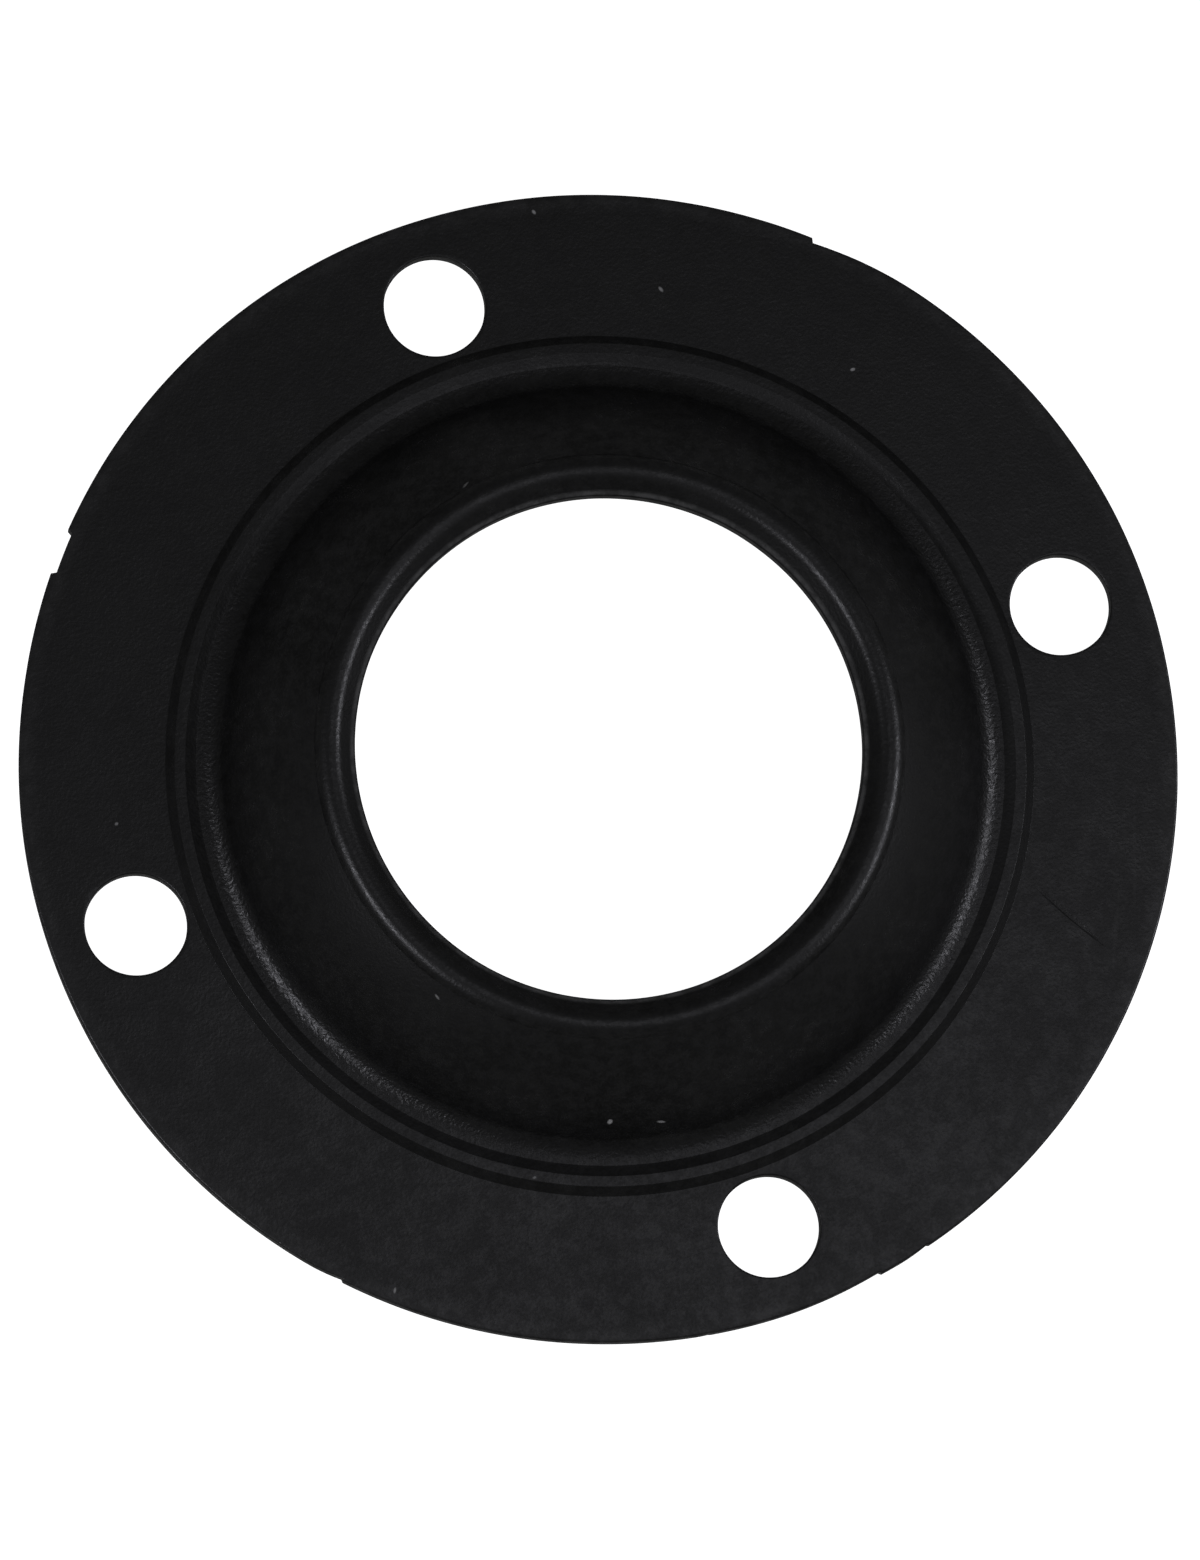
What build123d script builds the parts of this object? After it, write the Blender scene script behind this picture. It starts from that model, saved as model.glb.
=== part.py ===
"""Moulded rubber toilet flange with a raised collar, four bolt holes and a beaded lip.

The real object is one rubber moulding. It is drawn here as four named zones that meet face to face:
the flat bolting flange, the low sealing bead, the hollow collar and the thick lip round the opening.
Units are millimetres. The origin is the centre of the flat underside and +Z is up, towards the lip.
A slope is the angle, in degrees, that a surface falls away from level.
"""
from build123d import *
from math import atan2, cos, degrees, radians, sin, sqrt, tan
import os

# Flat flange
FLANGE_RADIUS = 90.0
FLANGE_THICKNESS = 3.2
RIM_ROUND = 0.4

# Holes for the closet bolts, the first one on +X
BOLT_CIRCLE_RADIUS = 152.4 / 2
BOLT_HOLE_RADIUS = 15.8 / 2
BOLT_COUNT = 4

# Low sealing bead between the flange and the collar
BEAD_OUTER_RADIUS = 67.65
BEAD_OUTER_FOOT = 67.35
BEAD_OUTER_SHOULDER = 65.95
BEAD_INNER_SHOULDER = 64.35
BEAD_INNER_FOOT = 62.65
BEAD_INNER_RADIUS = 62.4
BEAD_RISE = 1.35
BEAD_ROUND = 0.2
GROOVE_RISE = 0.65

# Hollow collar: a narrow level foot, a concave fillet, then one convex arc up to the lip
FOOT_WIDTH = 0.2
FOOT_FILLET = 4.2
FOOT_SLOPE = 58.0
COLLAR_WALL = 3.2

# Thick rounded lip round the opening
OPENING_RADIUS = 39.0
OPENING_WALL = 2.0
LIP_CREST_RADIUS = 43.0
LIP_CREST_RISE = 19.0
LIP_ROUND = 2.6
LIP_ROOT_SLOPE = 64.0
LIP_INNER_SLOPE = 44.0
ARRIS_ROUND = 0.4


def at(radius, height):
    """A point of the section."""
    return Vector(radius, 0, height)


def normal(slope):
    """Unit normal of a surface that falls away outwards at this slope."""
    return Vector(sin(radians(slope)), 0, cos(radians(slope)))


def turned(edges):
    """The closed section that these edges bound, turned once round the axis."""
    return revolve(Face(Wire(edges)), Axis.Z, 360)


def on_circle(centre, radius, height):
    """The outer point of a section circle at a given height."""
    return at(centre.X + sqrt(radius**2 - (height - centre.Z) ** 2), height)


# Points and circles that two zones share
flange_top = FLANGE_THICKNESS
groove_top = flange_top + GROOVE_RISE
foot_start = at(BEAD_INNER_RADIUS - FOOT_WIDTH, groove_top)
foot_centre = foot_start + at(0, FOOT_FILLET)
foot_end = foot_centre - normal(FOOT_SLOPE) * FOOT_FILLET

lip_centre = at(LIP_CREST_RADIUS, flange_top + LIP_CREST_RISE - LIP_ROUND)
lip_root = lip_centre + normal(LIP_ROOT_SLOPE) * LIP_ROUND

collar_chord = foot_end - lip_root
chord_slope = degrees(atan2(-collar_chord.Z, collar_chord.X))
root_slope = 2 * chord_slope - FOOT_SLOPE
collar_radius = collar_chord.length / (2 * sin(radians(FOOT_SLOPE - chord_slope)))
collar_centre = foot_end - normal(FOOT_SLOPE) * collar_radius

inner_radius = collar_radius - COLLAR_WALL
inner_root = collar_centre + normal(root_slope) * inner_radius
inner_foot = on_circle(collar_centre, inner_radius, 0)

lip_inner = lip_centre + normal(-LIP_INNER_SLOPE) * LIP_ROUND
lip_flank_width = lip_inner.X - OPENING_RADIUS - ARRIS_ROUND * (1 - sin(radians(LIP_INNER_SLOPE)))
arris = lip_inner - at(lip_flank_width, lip_flank_width * tan(radians(LIP_INNER_SLOPE)))
opening_top = at(OPENING_RADIUS, arris.Z - ARRIS_ROUND * cos(radians(LIP_INNER_SLOPE)))
opening_bottom = opening_top - at(0, OPENING_WALL)
lip_under = on_circle(collar_centre, inner_radius, opening_bottom.Z)


def concentric_arc(start, end, radius):
    """An arc about the collar's centre, between two points of one circle."""
    middle = (start + end) * 0.5 - collar_centre
    return ThreePointArc(start, collar_centre + middle.normalized() * radius, end)


def bolt_flange():
    """Flat ring with rounded rim edges and a plain hole for each bolt."""
    rim_low = at(FLANGE_RADIUS, RIM_ROUND)
    rim_high = at(FLANGE_RADIUS, flange_top - RIM_ROUND)
    low_edge = at(FLANGE_RADIUS - RIM_ROUND, 0)
    high_edge = at(FLANGE_RADIUS - RIM_ROUND, flange_top)
    ring = turned([
        Line(at(BEAD_OUTER_RADIUS, 0), low_edge),
        TangentArc(low_edge, rim_low, tangent=at(1, 0)),
        Line(rim_low, rim_high),
        TangentArc(rim_high, high_edge, tangent=at(0, 1)),
        Line(high_edge, at(BEAD_OUTER_RADIUS, flange_top)),
        Line(at(BEAD_OUTER_RADIUS, flange_top), at(BEAD_OUTER_RADIUS, 0)),
    ])
    holes = PolarLocations(BOLT_CIRCLE_RADIUS, BOLT_COUNT) * Cylinder(BOLT_HOLE_RADIUS, 3 * FLANGE_THICKNESS)
    return ring - holes


def sealing_bead():
    """Low raised ring with a level top and a shallow groove inside it, every corner rounded."""
    outer_end = at(BEAD_OUTER_RADIUS, flange_top)
    inner_end = at(BEAD_INNER_RADIUS, groove_top)
    top = FilletPolyline(
        outer_end,
        at(BEAD_OUTER_FOOT, flange_top),
        at(BEAD_OUTER_SHOULDER, flange_top + BEAD_RISE),
        at(BEAD_INNER_SHOULDER, flange_top + BEAD_RISE),
        at(BEAD_INNER_FOOT, groove_top),
        inner_end,
        radius=BEAD_ROUND,
    )
    return turned([
        *top.edges(),
        Line(inner_end, at(BEAD_INNER_RADIUS, 0)),
        Line(at(BEAD_INNER_RADIUS, 0), at(BEAD_OUTER_RADIUS, 0)),
        Line(at(BEAD_OUTER_RADIUS, 0), outer_end),
    ])


def collar_cone():
    """Hollow wall that climbs from the bead's inner foot to the root of the lip at one thickness."""
    outer_low = at(BEAD_INNER_RADIUS, 0)
    outer_high = at(BEAD_INNER_RADIUS, groove_top)
    return turned([
        Line(inner_foot, outer_low),
        Line(outer_low, outer_high),
        Line(outer_high, foot_start),
        TangentArc(foot_start, foot_end, tangent=at(-1, 0)),
        concentric_arc(foot_end, lip_root, collar_radius),
        Line(lip_root, inner_root),
        concentric_arc(inner_root, inner_foot, inner_radius),
    ])


def collar_lip():
    """Thick rounded lip that slopes down inside to the opening's rounded edge and short wall."""
    crest = lip_centre + at(0, LIP_ROUND)
    return turned([
        ThreePointArc(lip_root, crest, lip_inner),
        Line(lip_inner, arris),
        TangentArc(arris, opening_top, tangent=arris - lip_inner),
        Line(opening_top, opening_bottom),
        Line(opening_bottom, lip_under),
        concentric_arc(lip_under, inner_root, inner_radius),
        Line(inner_root, lip_root),
    ])


def main():
    os.makedirs("parts", exist_ok=True)
    zones = {
        "bolt_flange": bolt_flange(),
        "sealing_bead": sealing_bead(),
        "collar_cone": collar_cone(),
        "collar_lip": collar_lip(),
    }
    for name, shape in zones.items():
        export_step(shape, f"parts/{name}.step")


main()
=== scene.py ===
"""Looks of the moulded rubber toilet flange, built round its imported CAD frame.

Lengths of the object are in millimetres until they become mesh points, and then metres.
Azimuths are degrees anticlockwise from the model's +X, seen from above.
A slope is the angle, in degrees, that a surface falls away from level.
"""

from math import atan2, cos, degrees, hypot, radians, sin, tan

import bpy
from mathutils import Matrix, Vector, noise


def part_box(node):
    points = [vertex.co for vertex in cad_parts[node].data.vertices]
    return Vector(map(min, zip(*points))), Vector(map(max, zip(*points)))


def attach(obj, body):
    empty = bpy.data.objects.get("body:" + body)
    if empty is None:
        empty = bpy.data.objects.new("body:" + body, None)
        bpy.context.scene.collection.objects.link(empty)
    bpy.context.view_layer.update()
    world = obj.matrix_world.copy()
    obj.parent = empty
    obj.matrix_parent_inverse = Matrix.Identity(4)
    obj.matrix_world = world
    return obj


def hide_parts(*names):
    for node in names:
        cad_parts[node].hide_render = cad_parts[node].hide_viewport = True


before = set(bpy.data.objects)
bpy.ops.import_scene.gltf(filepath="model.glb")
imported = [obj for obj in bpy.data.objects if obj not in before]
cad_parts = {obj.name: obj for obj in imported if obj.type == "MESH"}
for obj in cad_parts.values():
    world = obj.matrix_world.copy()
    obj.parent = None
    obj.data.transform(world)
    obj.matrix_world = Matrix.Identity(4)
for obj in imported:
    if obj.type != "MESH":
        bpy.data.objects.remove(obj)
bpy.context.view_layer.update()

MM = 0.001
BODY = "root"

# Flange, from the CAD frame and its hole pattern
FLANGE_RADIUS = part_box("bolt_flange")[1].x / MM
FLANGE_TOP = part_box("bolt_flange")[1].z / MM
RIM_ROUND = 0.4
BOLT_CIRCLE_RADIUS = 76.2
BOLT_HOLE_RADIUS = 7.9
BOLT_COUNT = 4
HOLE_ROUND = 0.25

# Sealing bead
BEAD_OUTER_RADIUS = 67.65
BEAD_OUTER_FOOT = 67.35
BEAD_OUTER_SHOULDER = 65.95
BEAD_INNER_SHOULDER = 64.35
BEAD_INNER_FOOT = 62.65
BEAD_INNER_RADIUS = 62.4
BEAD_RISE = 1.35
BEAD_ROUNDS = (0.05, 0.12, 0.2, 0.2)
GROOVE_RISE = 0.65

# Collar
FOOT_START_RADIUS = 62.2
FOOT_FILLET = 4.2
FOOT_SLOPE = 58.0
COLLAR_WALL = 3.2

# Lip
OPENING_RADIUS = 39.0
OPENING_WALL = 2.0
LIP_CREST_RADIUS = 43.0
LIP_CREST_RISE = 19.0
LIP_ROUND = 2.6
LIP_ROOT_SLOPE = 64.0
LIP_INNER_SLOPE = 44.0
ARRIS_ROUND = 0.4

# Rim, where flash was trimmed by hand: ramps as (start azimuth, span, depth) that end in a sharp step
TRIM_RAMPS = [(36.5, 12, 0.8), (220, 4, 0.4), (266.5, 12.5, 0.45), (281, 3.5, 0.3), (259.5, 1.5, 0.1)]
TRIM_NOTCHES = [(137, 4.3, 0.8)]
RIM_WOBBLE = [(4, 8.4, 0.06), (11, 40.0, 0.02)]
RIM_MARGIN = 0.08
TRIM_REACH_RADIUS = 88.0

# Unevenness of the moulded surface: size across, height and seed
WAVES = [(26.0, 0.05, 3.1), (9.0, 0.02, 7.7), (3.0, 0.006, 1.3)]
# How far the uneven surface is lowered, so that its highest waves stay inside the CAD box
WAVE_SINK = 0.05
# Fixed, because without a seed Blender draws this noise anew in each run
NOISE_SEED = 1

# Mesh fineness
FLANGE_STEPS = 1440
RING_STEPS = 720
PATCH_HALF_STEPS = 26
PATCH_RINGS = 5
PATCH_RADII = (67.9, 84.5)
PATCH_RADIAL_STEPS = 24
RIM_RINGS = [85.5, 86.7, 87.9, 88.8]
HOLE_ROUND_STEPS = 3
RIM_STEPS = 4
FOOT_STEPS = 14
COLLAR_STEPS = 26
LIP_STEPS = 20
LIP_FLANK_STEPS = 6
ARRIS_STEPS = 5
WALL_STEPS = 4
UNDERSIDE_STEPS = 4
LIP_UNDERSIDE_STEPS = 3
ROUNDING_STEPS = 8
SHARP_ANGLE = 38.0

# View: where the camera stands, measured from straight above the part
VIEW_DISTANCE = 1.6
VIEW_TILT = 10.14
VIEW_AZIMUTH = 223.3
VIEW_UP_AZIMUTH = 70.1
VIEW_AIM = (-0.64, -1.99)
FRAME_HEIGHT = 241.5
SENSOR = 36.0
VIEW_CLIP = (0.05, 20)

# Rubber: each noise is scale per metre, detail and roughness
BLOTCH_NOISE = (70, 3, 0.5)
MOTTLE_NOISE = (450, 4, 0.7)
GRAIN_NOISE = (2200, 1, 0.5)
PEEL_NOISE = (1700, 2, 0.5)

# How a noise lightens the rubber: its values where that starts and is full, and the tone at each
BLOTCH_TONE = (0.42, 0.58, 0.0, 0.25)
MOTTLE_TONE = (0.43, 0.59, 0.0, 0.5)
GRAIN_TONE = (0.43, 0.59, 0.0, 0.30)

# Rubber, from its darkest tone to its lightest
RUBBER_DARK = (0.0002, 0.0002, 0.0002, 1)
RUBBER_LIGHT = (0.0120, 0.0120, 0.0122, 1)
RUBBER_ROUGHNESS = (0.45, 0.27)
RUBBER_SPECULAR = 0.5

# Relief of the rubber, in metres, and the radii between which the orange peel on the collar's foot is deeper
PEEL_DEPTH = 0.00004
GRAIN_DEPTH = 0.000025
FOOT_PEEL_DEPTH = 0.00008
SCRATCH_DEPTH = 0.00012
FOOT_PEEL_RADII = (58.0, 59.5, 62.0, 63.0)

# Rings painted lighter on the rubber, each a painted highlight or painted light: the radii where each starts,
# is full, starts to fade and ends, and how much lighter it is
PAINTED_HIGHLIGHT_RINGS = [
    # Painted highlight along the opening's edge, standing in for the white floor mirrored there
    (39.12, 39.30, 39.55, 39.95, 0.050),
    # Painted light in the groove inside the bead, where the collar shades it
    (62.55, 62.80, 64.00, 64.30, 0.002),
    # Painted highlight along the rim
    (86.80, 88.80, 90.00, 90.50, 0.009),
]
# Share of the painted highlight that is left where the mottle is darkest and lightest
PAINTED_HIGHLIGHT_SHARE = (0.6, 1.4)

# Marks on the rubber: azimuth, radius, length, width, turn from +X, and how much lighter
DUST = [
    (38, 74, 0.8, 0.5, 0, 0.30),
    (251, 56.5, 0.8, 0.6, 0, 0.34),
    (77, 87.5, 0.8, 0.5, -70, 0.30),
    (63, 75.5, 1.0, 0.5, -70, 0.26),
    (168, 75.5, 0.6, 0.5, 20, 0.22),
    (229, 88, 0.9, 0.4, 60, 0.22),
    (259, 57, 1.3, 0.3, -20, 0.24),
    (241, 65.5, 0.6, 0.4, 0, 0.16),
    (216, 47, 1.0, 0.3, -70, 0.18),
    (99, 46, 1.4, 0.3, 30, 0.10),
]
STREAKS = [
    (331, 84, 22, 0.5, 70, 0.0055),
    (322, 84, 12, 0.6, 65, 0.0055),
    (333, 76, 22, 1.4, 70, 0.0025),
]
SCRATCH = (322.5, 76.5, 12, 0.65, -60)
# Where a mark starts to fade and where it ends, as shares of its half size
MARK_FADE = (0.6, 1.2)

# Studio: the floor lies a little below the part, so that no two faces share a plane
FLOOR_REACH = 3.0
FLOOR_DROP = 0.0001
FLOOR_COLOR = (0.9, 0.9, 0.9, 1)
FLOOR_ROUGHNESS = 0.9
FLOOR_GLOW = 1.0
WHITE = (1, 1, 1, 1)
WORLD_GLOW = (0.080, 0.112)
WORLD_BRIGHT_AZIMUTH = 270

# Each light is name, azimuth, angle from straight up, distance, width, depth and power
LIGHT_COLOR = (0.97, 0.97, 1.05)
LIGHTS = [
    ("overhead_softbox", 314.0, 12.0, 0.50, 0.25, 0.27, 0.112),
    ("left_strip", 190.0, 45.0, 0.55, 0.16, 0.07, 0.46),
    ("right_strip", 337.0, 54.0, 0.55, 0.26, 0.08, 0.54),
]


# ---------------------------------------------------------------- section

def direction(slope):
    """Unit normal, as (radius, height), of a surface that falls away outwards at this slope."""
    return (sin(radians(slope)), cos(radians(slope)))


def bulge(centre, radius, first, last, count):
    """Points of a convex arc, from one surface slope to another."""
    slopes = [first + (last - first) * i / count for i in range(count + 1)]
    return [(centre[0] + radius * direction(s)[0], centre[1] + radius * direction(s)[1]) for s in slopes]


def hollow(centre, radius, first, last, count):
    """Points of a concave arc, from one surface slope to another."""
    return bulge(centre, -radius, first, last, count)


def run(start, end, count):
    """Evenly spaced points from start to end, both included."""
    return [tuple(Vector(start).lerp(Vector(end), i / count)) for i in range(count + 1)]


def softened(corners, roundings):
    """Polyline through (radius, height) corners, with an arc of a given radius at each inner one."""
    points = [corners[0]]
    for before, here, after, rounding in zip(corners, corners[1:], corners[2:], roundings):
        corner = Vector(here)
        back = (Vector(before) - corner).normalized()
        ahead = (Vector(after) - corner).normalized()
        half = back.angle(ahead) / 2
        reach = rounding / tan(half)
        centre = corner + (back + ahead).normalized() * (rounding / sin(half))
        start = corner + back * reach - centre
        end = corner + ahead * reach - centre
        points += [tuple(centre + start.lerp(end, i / ROUNDING_STEPS).normalized() * rounding)
                   for i in range(ROUNDING_STEPS + 1)]
    points.append(corners[-1])
    return points


# Circles of the collar and the lip, worked out as in the part's own design
GROOVE_TOP = FLANGE_TOP + GROOVE_RISE
FOOT_CENTRE = (FOOT_START_RADIUS, GROOVE_TOP + FOOT_FILLET)
FOOT_END = hollow(FOOT_CENTRE, FOOT_FILLET, 0, FOOT_SLOPE, 1)[1]
LIP_CENTRE = (LIP_CREST_RADIUS, FLANGE_TOP + LIP_CREST_RISE - LIP_ROUND)
LIP_ROOT = bulge(LIP_CENTRE, LIP_ROUND, LIP_ROOT_SLOPE, 0, 1)[0]
CHORD_SLOPE = degrees(atan2(LIP_ROOT[1] - FOOT_END[1], FOOT_END[0] - LIP_ROOT[0]))
ROOT_SLOPE = 2 * CHORD_SLOPE - FOOT_SLOPE
CHORD = hypot(LIP_ROOT[1] - FOOT_END[1], FOOT_END[0] - LIP_ROOT[0])
COLLAR_RADIUS = CHORD / (2 * sin(radians(FOOT_SLOPE - CHORD_SLOPE)))
COLLAR_CENTRE = tuple(p - COLLAR_RADIUS * n for p, n in zip(FOOT_END, direction(FOOT_SLOPE)))
INNER_RADIUS = COLLAR_RADIUS - COLLAR_WALL
LIP_INNER = bulge(LIP_CENTRE, LIP_ROUND, 0, -LIP_INNER_SLOPE, 1)[1]
ARRIS_SHIFT = ARRIS_ROUND * (1 - sin(radians(LIP_INNER_SLOPE)))
LIP_FLANK_WIDTH = LIP_INNER[0] - OPENING_RADIUS - ARRIS_SHIFT
ARRIS = (LIP_INNER[0] - LIP_FLANK_WIDTH, LIP_INNER[1] - LIP_FLANK_WIDTH * tan(radians(LIP_INNER_SLOPE)))
OPENING_TOP = ARRIS[1] - ARRIS_ROUND * cos(radians(LIP_INNER_SLOPE))
OPENING_BOTTOM = OPENING_TOP - OPENING_WALL

FLANGE_RINGS = [BEAD_OUTER_RADIUS]
FLANGE_RINGS += [PATCH_RADII[0] + (PATCH_RADII[1] - PATCH_RADII[0]) * k / PATCH_RADIAL_STEPS
                 for k in range(PATCH_RADIAL_STEPS + 1)]
FLANGE_RINGS += RIM_RINGS
PATCH_LOW_RING, PATCH_HIGH_RING = [FLANGE_RINGS.index(radius) for radius in PATCH_RADII]


def inner_slope_at(height):
    """Slope of the collar's inner surface at a height."""
    rise = height - COLLAR_CENTRE[1]
    return degrees(atan2((INNER_RADIUS**2 - rise**2) ** 0.5, rise))


# ---------------------------------------------------------------- small surface unevenness

def drift(point, size, seed):
    """Smooth noise vector, about -1 to 1, whose features are about this many millimetres across."""
    shifted = Vector(point) / size + Vector((seed, 0, -seed))
    return noise.noise_vector(shifted)


def uneven(x, y, z):
    """Where a moulded point really lies: rubber is never dead true. The flat underside stays flat."""
    weight = min(z / FLANGE_TOP, 1.0)
    move = Vector((0, 0, -WAVE_SINK * weight))
    for size, height, seed in WAVES:
        move += drift((x, y, z), size, seed) * (height * weight)
    return (x + move.x, y + move.y, z + move.z)


def trim_depth(azimuth):
    """How far the rim's trimmed edge lies inside its nominal radius at an azimuth."""
    depth = RIM_MARGIN
    for start, span, cut in TRIM_RAMPS:
        along = ((azimuth - start) % 360) / span
        if along < 1:
            depth += cut * along**2
    for start, span, cut in TRIM_NOTCHES:
        if (azimuth - start) % 360 < span:
            depth += cut
    for waves, phase, height in RIM_WOBBLE:
        depth -= height * sin(radians(waves * azimuth + phase))
    return max(depth, 0.0)


# ---------------------------------------------------------------- mesh building

def mesh_piece(name, points, faces, node):
    """A smooth closed piece of the moulding, in metres, that stands for one CAD node."""
    mesh = bpy.data.meshes.new(name)
    mesh.from_pydata([(x * MM, y * MM, z * MM) for x, y, z in points], [], faces)
    mesh.polygons.foreach_set("use_smooth", [True] * len(mesh.polygons))
    mesh.set_sharp_from_angle(angle=radians(SHARP_ANGLE))
    piece = bpy.data.objects.new(name, mesh)
    bpy.context.scene.collection.objects.link(piece)
    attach(piece, BODY)
    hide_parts(node)
    return piece


def around(radius, height, azimuth):
    """A point of the revolved section."""
    return (radius * cos(radians(azimuth)), radius * sin(radians(azimuth)), height)


def band_faces(first, second):
    """Quads between two closed rings of point numbers."""
    count = len(first)
    return [(first[j], first[(j + 1) % count], second[(j + 1) % count], second[j]) for j in range(count)]


def revolved(name, section, node):
    """Turns a closed section, listed clockwise from its outer top, into a piece."""
    points = []
    rings = []
    for radius, height in section:
        rings.append(range(len(points), len(points) + RING_STEPS))
        for j in range(RING_STEPS):
            points.append(uneven(*around(radius, height, 360 * j / RING_STEPS)))
    faces = []
    for first, second in zip(rings, rings[1:] + rings[:1]):
        faces += band_faces(first, second)
    return mesh_piece(name, points, faces, node)


def bead_section():
    """Closed section of the sealing bead, from its outer foot inwards over the top."""
    top = softened([
        (BEAD_OUTER_RADIUS, FLANGE_TOP),
        (BEAD_OUTER_FOOT, FLANGE_TOP),
        (BEAD_OUTER_SHOULDER, FLANGE_TOP + BEAD_RISE),
        (BEAD_INNER_SHOULDER, FLANGE_TOP + BEAD_RISE),
        (BEAD_INNER_FOOT, GROOVE_TOP),
        (BEAD_INNER_RADIUS, GROOVE_TOP),
    ], BEAD_ROUNDS)
    return top + run((BEAD_INNER_RADIUS, 0), (BEAD_OUTER_RADIUS, 0), UNDERSIDE_STEPS)


def cone_section():
    """Closed section of the hollow collar, from its level foot up the outside and down the inside."""
    outside = [(BEAD_INNER_RADIUS, GROOVE_TOP)]
    outside += hollow(FOOT_CENTRE, FOOT_FILLET, 0, FOOT_SLOPE, FOOT_STEPS)[:-1]
    outside += bulge(COLLAR_CENTRE, COLLAR_RADIUS, FOOT_SLOPE, ROOT_SLOPE, COLLAR_STEPS)
    inside = bulge(COLLAR_CENTRE, INNER_RADIUS, ROOT_SLOPE, inner_slope_at(0), COLLAR_STEPS)
    return outside + inside + [(BEAD_INNER_RADIUS, 0)]


def lip_section():
    """Closed section of the thick lip, from its root over the crest and down the opening's wall."""
    top = bulge(LIP_CENTRE, LIP_ROUND, LIP_ROOT_SLOPE, -LIP_INNER_SLOPE, LIP_STEPS)[:-1]
    top += run(LIP_INNER, ARRIS, LIP_FLANK_STEPS)[:-1]
    top += bulge((OPENING_RADIUS + ARRIS_ROUND, OPENING_TOP), ARRIS_ROUND, -LIP_INNER_SLOPE, -90, ARRIS_STEPS)
    wall = run((OPENING_RADIUS, OPENING_TOP), (OPENING_RADIUS, OPENING_BOTTOM), WALL_STEPS)[1:]
    low_slope = inner_slope_at(OPENING_BOTTOM)
    under = bulge(COLLAR_CENTRE, INNER_RADIUS, low_slope, ROOT_SLOPE, LIP_UNDERSIDE_STEPS)
    return top + wall + under


def flange_section():
    """Open section of the flange, from the bead's foot outwards over the rim and back underneath."""
    top = [(r, FLANGE_TOP) for r in FLANGE_RINGS]
    rim_top = bulge((FLANGE_RADIUS - RIM_ROUND, FLANGE_TOP - RIM_ROUND), RIM_ROUND, 0, 90, RIM_STEPS)
    rim_low = bulge((FLANGE_RADIUS - RIM_ROUND, RIM_ROUND), RIM_ROUND, 90, 180, RIM_STEPS)
    return top + rim_top + rim_low + [(r, 0.0) for r in reversed(FLANGE_RINGS)]


def flange_point(radius, height, azimuth):
    """A point of the flange, pulled in near the rim by what was trimmed there."""
    share = max(0.0, (radius - TRIM_REACH_RADIUS) / (FLANGE_RADIUS - TRIM_REACH_RADIUS))
    return uneven(*around(radius - trim_depth(azimuth) * share**2, height, azimuth))


def steps_from_hole(step):
    """How many grid steps lie between a place and the middle of the nearest bolt hole."""
    quarter = FLANGE_STEPS // BOLT_COUNT
    past = step % quarter
    return min(past, quarter - past)


def in_window(ring, step, last_ring, margin):
    """Whether a grid place lies in a bolt hole's window, at least this many places from the window's edge."""
    top_ring = ring if ring < len(FLANGE_RINGS) else last_ring - ring
    in_rings = PATCH_LOW_RING + margin <= top_ring <= PATCH_HIGH_RING - margin
    return in_rings and steps_from_hole(step) <= PATCH_HALF_STEPS - margin


def grid_points(section):
    """Points of the flange's grid, left out inside the windows, and the number of the point at each place."""
    points = []
    number = {}
    for ring, (radius, height) in enumerate(section):
        for step in range(FLANGE_STEPS):
            if not in_window(ring, step, len(section) - 1, 1):
                number[ring, step] = len(points)
                points.append(flange_point(radius, height, 360 * step / FLANGE_STEPS))
    return points, number


def grid_faces(section, number):
    """Quads of the flange's grid, left out inside the windows."""
    faces = []
    for ring in range(len(section)):
        next_ring = (ring + 1) % len(section)
        for step in range(FLANGE_STEPS):
            next_step = (step + 1) % FLANGE_STEPS
            corners = [(ring, step), (ring, next_step), (next_ring, next_step), (next_ring, step)]
            if not all(in_window(*place, len(section) - 1, 0) for place in corners):
                faces.append(tuple(number[place] for place in reversed(corners)))
    return faces


def window_loop(low_ring, high_ring, middle):
    """Grid places, as (ring, step), round the window that a bolt hole is cut in."""
    first = middle - PATCH_HALF_STEPS
    last = middle + PATCH_HALF_STEPS
    toward = 1 if high_ring > low_ring else -1
    loop = [(low_ring, j % FLANGE_STEPS) for j in range(last, first, -1)]
    loop += [(i, first % FLANGE_STEPS) for i in range(low_ring, high_ring, toward)]
    loop += [(high_ring, j % FLANGE_STEPS) for j in range(first, last)]
    loop += [(i, last % FLANGE_STEPS) for i in range(high_ring, low_ring, -toward)]
    return loop


def hole_profile():
    """(radius, height) steps from the flange's top face, down the hole's wall, to the underside."""
    edge = BOLT_HOLE_RADIUS + HOLE_ROUND
    top = bulge((edge, FLANGE_TOP - HOLE_ROUND), HOLE_ROUND, 0, -90, HOLE_ROUND_STEPS)
    low = bulge((edge, HOLE_ROUND), HOLE_ROUND, -90, -180, HOLE_ROUND_STEPS)
    return top + low


def hole_rings():
    """(radius, height, share) of each ring; share is how far it has come from the window to that radius."""
    edge = BOLT_HOLE_RADIUS + HOLE_ROUND
    shares = [k / PATCH_RINGS for k in range(1, PATCH_RINGS)]
    top = [(edge, FLANGE_TOP, share) for share in shares]
    wall = [(radius, height, 1) for radius, height in hole_profile()]
    low = [(edge, 0.0, 1 - share) for share in shares]
    return top + wall + low


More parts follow.
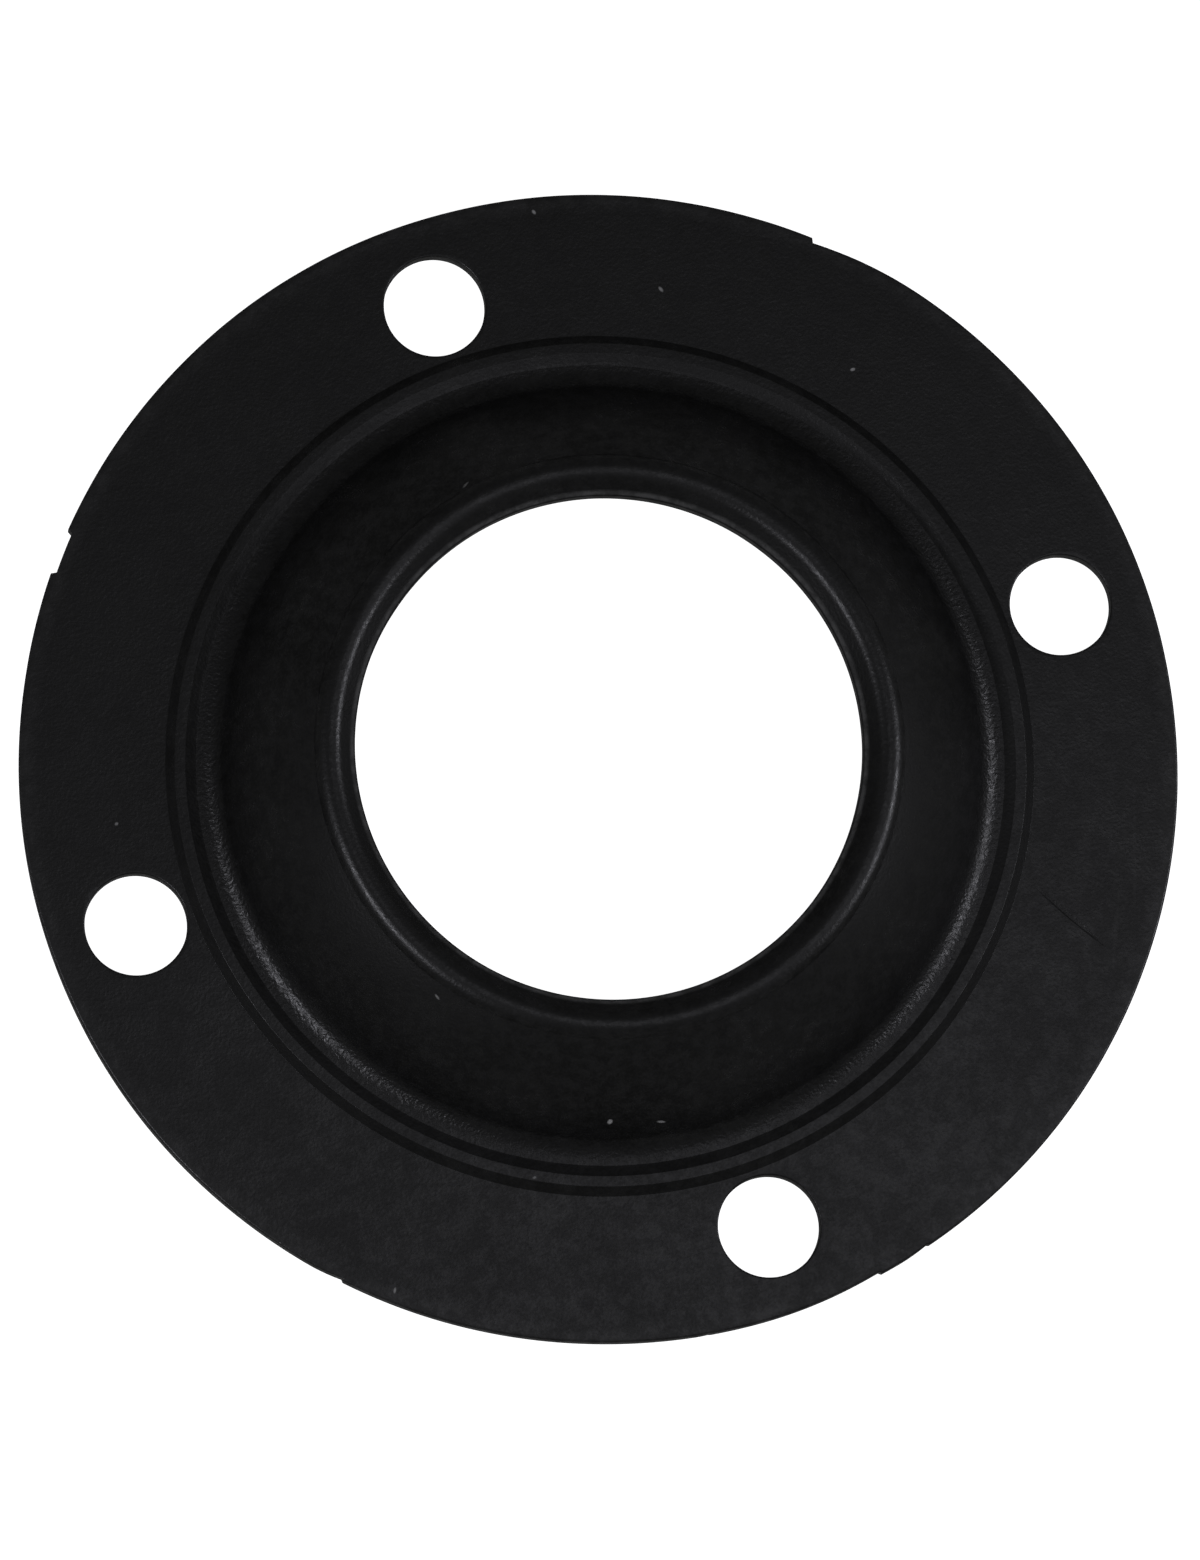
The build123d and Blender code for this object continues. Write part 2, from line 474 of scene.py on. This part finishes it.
def cut_hole(section, middle, points, number):
    """Adds one bolt hole's points, and gives the faces that close its window down through the hole."""
    last_ring = len(section) - 1
    centre = Vector(around(BOLT_CIRCLE_RADIUS, 0, 360 * middle / FLANGE_STEPS))
    top_loop = window_loop(PATCH_LOW_RING, PATCH_HIGH_RING, middle)
    low_loop = window_loop(last_ring - PATCH_LOW_RING, last_ring - PATCH_HIGH_RING, middle)
    spokes = [Vector(around(section[i][0], 0, 360 * j / FLANGE_STEPS)) - centre for i, j in top_loop]
    rings = [[number[place] for place in top_loop]]
    for radius, height, share in hole_rings():
        rings.append(range(len(points), len(points) + len(spokes)))
        for spoke in spokes:
            spot = centre + spoke.normalized() * (spoke.length + (radius - spoke.length) * share)
            points.append(uneven(spot.x, spot.y, height))
    rings.append([number[place] for place in low_loop])
    faces = []
    for first, second in zip(rings, rings[1:]):
        faces += band_faces(first, second)
    return faces


def build_flange():
    """Flat flange: a polar grid with a window round each bolt hole, closed by rings down the hole."""
    section = flange_section()
    points, number = grid_points(section)
    faces = grid_faces(section, number)
    for hole in range(BOLT_COUNT):
        faces += cut_hole(section, hole * FLANGE_STEPS // BOLT_COUNT, points, number)
    return mesh_piece("flange_skin", points, faces, "bolt_flange")


# ---------------------------------------------------------------- materials

class Nodes:
    """A short way to add and join shader nodes in one material."""

    def __init__(self, name):
        self.material = bpy.data.materials.new(name)
        self.material.use_nodes = True
        self.tree = self.material.node_tree
        self.shader = self.tree.nodes["Principled BSDF"]

    def add(self, kind, **settings):
        node = self.tree.nodes.new(kind)
        for key, value in settings.items():
            setattr(node, key, value)
        return node

    def join(self, source, target):
        self.tree.links.new(source, target)

    def noise(self, place, scale, detail, roughness):
        """Noise value at a place, with features about 1 / scale metres across."""
        node = self.add("ShaderNodeTexNoise")
        node.inputs["Scale"].default_value = scale
        node.inputs["Detail"].default_value = detail
        node.inputs["Roughness"].default_value = roughness
        self.join(place, node.inputs["Vector"])
        return node.outputs["Fac"]

    def math(self, operation, first, second):
        """One math step; each side is a socket or a number."""
        node = self.add("ShaderNodeMath", operation=operation)
        for socket, value in zip(node.inputs, (first, second)):
            if isinstance(value, (int, float)):
                socket.default_value = value
            else:
                self.join(value, socket)
        return node.outputs["Value"]

    def spread(self, value, low, high, out_low, out_high):
        """Maps a value's range to another, clamped."""
        node = self.add("ShaderNodeMapRange")
        node.inputs["From Min"].default_value = low
        node.inputs["From Max"].default_value = high
        node.inputs["To Min"].default_value = out_low
        node.inputs["To Max"].default_value = out_high
        self.join(value, node.inputs["Value"])
        return node.outputs["Result"]

    def ring(self, radius, start, full, last, end, height):
        """A value that is this high in a ring round the axis, and fades on both sides of it."""
        inner = self.spread(radius, start, full, 0.0, height)
        return self.math("MULTIPLY", inner, self.spread(radius, last, end, 1.0, 0.0))

    def length(self, vector):
        """Length of a vector."""
        node = self.add("ShaderNodeVectorMath", operation="LENGTH")
        self.join(vector, node.inputs[0])
        return node.outputs["Value"]

    def bump(self, height, distance, below=None):
        """A bump layer over another one."""
        node = self.add("ShaderNodeBump")
        node.inputs["Distance"].default_value = distance
        node.inputs["Strength"].default_value = 1.0
        self.join(height, node.inputs["Height"])
        if below is not None:
            self.join(below, node.inputs["Normal"])
        return node.outputs["Normal"]


def mark(n, place, azimuth, radius, length, width, turn, lighter):
    """A soft-edged oval of a given strength at one spot of the rubber, seen from above."""
    spot = n.add("ShaderNodeMapping", vector_type="TEXTURE")
    spot.inputs["Location"].default_value = Vector(around(radius, 0, azimuth)) * MM
    spot.inputs["Rotation"].default_value = (0, 0, radians(turn))
    spot.inputs["Scale"].default_value = (length * MM / 2, width * MM / 2, 1)
    n.join(place, spot.inputs["Vector"])
    return n.spread(n.length(spot.outputs["Vector"]), *MARK_FADE, lighter, 0.0)


def rubber_color(n, tone):
    """Black rubber, from its darkest to its lightest tone."""
    color = n.add("ShaderNodeMix", data_type="RGBA")
    color.inputs["A"].default_value = RUBBER_DARK
    color.inputs["B"].default_value = RUBBER_LIGHT
    n.join(tone, color.inputs["Factor"])
    return color.outputs["Result"]


def painted_highlights_and_marks(n, flat, radius, mottle):
    """How much lighter the painted highlight rings, the dust and the streaks make the rubber."""
    share = n.spread(mottle, *MOTTLE_TONE[2:], *PAINTED_HIGHLIGHT_SHARE)
    lighter = 0.0
    # Rings of painted highlight and painted light, lighter where the mottle is lighter
    for start, full, last, end, highlight_strength in PAINTED_HIGHLIGHT_RINGS:
        ring = n.ring(radius, start, full, last, end, highlight_strength)
        lighter = n.math("ADD", n.math("MULTIPLY", ring, share), lighter)
    for spot in DUST + STREAKS:
        lighter = n.math("ADD", lighter, mark(n, flat, *spot))
    return lighter


def rubber_relief(n, place, flat, radius, grain):
    """Fine orange peel, deeper on the collar's foot, with the scratch cut in it and the grain over it."""
    peel = n.noise(place, *PEEL_NOISE)
    foot = n.ring(radius, *FOOT_PEEL_RADII, 1.0)
    deep = n.math("MULTIPLY", n.math("MULTIPLY", peel, foot), FOOT_PEEL_DEPTH / PEEL_DEPTH)
    scratch = mark(n, flat, *SCRATCH, -SCRATCH_DEPTH / PEEL_DEPTH)
    under = n.bump(n.math("ADD", n.math("ADD", peel, deep), scratch), PEEL_DEPTH)
    return n.bump(grain, GRAIN_DEPTH, under)


def rubber_material():
    """Black moulded rubber, uneven in tone and gloss, with painted highlight rings, its marks and fine
    relief.
    """
    n = Nodes("moulded_black_rubber")
    place = n.add("ShaderNodeTexCoord").outputs["Object"]
    level = n.add("ShaderNodeVectorMath", operation="MULTIPLY")
    level.inputs[1].default_value = (1, 1, 0)
    n.join(place, level.inputs[0])
    flat = level.outputs["Vector"]
    radius = n.math("DIVIDE", n.length(flat), MM)

    blotch = n.spread(n.noise(place, *BLOTCH_NOISE), *BLOTCH_TONE)
    mottle = n.spread(n.noise(place, *MOTTLE_NOISE), *MOTTLE_TONE)
    grain = n.noise(place, *GRAIN_NOISE)
    tone = n.math("ADD", n.math("ADD", blotch, mottle), n.spread(grain, *GRAIN_TONE))

    shade = n.add("ShaderNodeVectorMath", operation="ADD")
    n.join(rubber_color(n, tone), shade.inputs[0])
    n.join(painted_highlights_and_marks(n, flat, radius, mottle), shade.inputs[1])
    n.join(shade.outputs["Vector"], n.shader.inputs["Base Color"])
    n.join(n.spread(tone, 0.0, 1.0, *RUBBER_ROUGHNESS), n.shader.inputs["Roughness"])
    n.shader.inputs["Specular IOR Level"].default_value = RUBBER_SPECULAR
    n.join(rubber_relief(n, place, flat, radius, grain), n.shader.inputs["Normal"])
    return n.material


def floor_material():
    """Plain white studio floor, which glows by itself so that it stays evenly white."""
    n = Nodes("white_studio_floor")
    n.shader.inputs["Base Color"].default_value = FLOOR_COLOR
    n.shader.inputs["Roughness"].default_value = FLOOR_ROUGHNESS
    n.shader.inputs["Specular IOR Level"].default_value = 0.0
    n.shader.inputs["Emission Color"].default_value = WHITE
    n.shader.inputs["Emission Strength"].default_value = FLOOR_GLOW
    return n.material


# ---------------------------------------------------------------- the part

def build_part():
    """The four zones of the moulding, all in one rubber."""
    rubber = rubber_material()
    pieces = [
        build_flange(),
        revolved("bead_skin", bead_section(), "sealing_bead"),
        revolved("collar_skin", cone_section(), "collar_cone"),
        revolved("lip_skin", lip_section(), "collar_lip"),
    ]
    for piece in pieces:
        piece.data.materials.append(rubber)


# ---------------------------------------------------------------- studio

def build_floor():
    """Level floor that isn't mirrored in the rubber."""
    mesh = bpy.data.meshes.new("studio_floor")
    signs = ((-1, -1), (1, -1), (1, 1), (-1, 1))
    corners = [(x * FLOOR_REACH, y * FLOOR_REACH, -FLOOR_DROP) for x, y in signs]
    mesh.from_pydata(corners, [], [(0, 1, 2, 3)])
    floor = bpy.data.objects.new("studio_floor", mesh)
    bpy.context.scene.collection.objects.link(floor)
    mesh.materials.append(floor_material())
    floor.visible_glossy = False


def away(azimuth, zenith, distance):
    """A point at a distance from the origin, at an azimuth and an angle from straight up."""
    flat = distance * sin(radians(zenith))
    height = distance * cos(radians(zenith))
    return Vector((flat * cos(radians(azimuth)), flat * sin(radians(azimuth)), height))


def build_light(name, azimuth, zenith, distance, width, depth, watts):
    """Soft light that faces the part, its width level and its depth up and down."""
    data = bpy.data.lights.new(name, "AREA")
    data.shape = "RECTANGLE"
    data.size = width
    data.size_y = depth
    data.energy = watts
    data.color = LIGHT_COLOR
    light = bpy.data.objects.new(name, data)
    light.location = away(azimuth, zenith, distance)
    light.rotation_euler = (-light.location).to_track_quat("-Z", "Y").to_euler()
    bpy.context.scene.collection.objects.link(light)


def build_world():
    """Dim grey room, a little brighter on one side."""
    world = bpy.data.worlds.new("studio")
    world.use_nodes = True
    tree = world.node_tree
    facing = tree.nodes.new("ShaderNodeVectorMath")
    facing.operation = "DOT_PRODUCT"
    facing.inputs[1].default_value = away(WORLD_BRIGHT_AZIMUTH, 90, 1.0)
    glow = tree.nodes.new("ShaderNodeMapRange")
    glow.inputs["From Min"].default_value = -1
    glow.inputs["To Min"].default_value, glow.inputs["To Max"].default_value = WORLD_GLOW
    tree.links.new(tree.nodes.new("ShaderNodeTexCoord").outputs["Generated"], facing.inputs[0])
    tree.links.new(facing.outputs["Value"], glow.inputs["Value"])
    tree.nodes["Background"].inputs["Color"].default_value = WHITE
    tree.links.new(glow.outputs["Result"], tree.nodes["Background"].inputs["Strength"])
    bpy.context.scene.world = world


def build_camera():
    """Long lens, almost straight above, turned so that the holes sit as they should."""
    data = bpy.data.cameras.new("camera")
    data.sensor_width = SENSOR
    data.lens = SENSOR * VIEW_DISTANCE / (FRAME_HEIGHT * MM)
    data.clip_start, data.clip_end = VIEW_CLIP
    camera = bpy.data.objects.new("camera", data)
    aim = Vector((VIEW_AIM[0] * MM, VIEW_AIM[1] * MM, 0))
    back = away(VIEW_AZIMUTH, VIEW_TILT, 1.0)
    right = Vector((cos(radians(VIEW_UP_AZIMUTH)), sin(radians(VIEW_UP_AZIMUTH)), 0)).cross(back).normalized()
    up = back.cross(right)
    turn = Matrix((right, up, back)).transposed()
    camera.matrix_world = Matrix.Translation(aim + back * VIEW_DISTANCE) @ turn.to_4x4()
    bpy.context.scene.collection.objects.link(camera)
    bpy.context.scene.camera = camera


noise.seed_set(NOISE_SEED)
build_part()
build_floor()
build_world()
for light in LIGHTS:
    build_light(*light)
build_camera()
bpy.context.scene.view_settings.view_transform = "Standard"
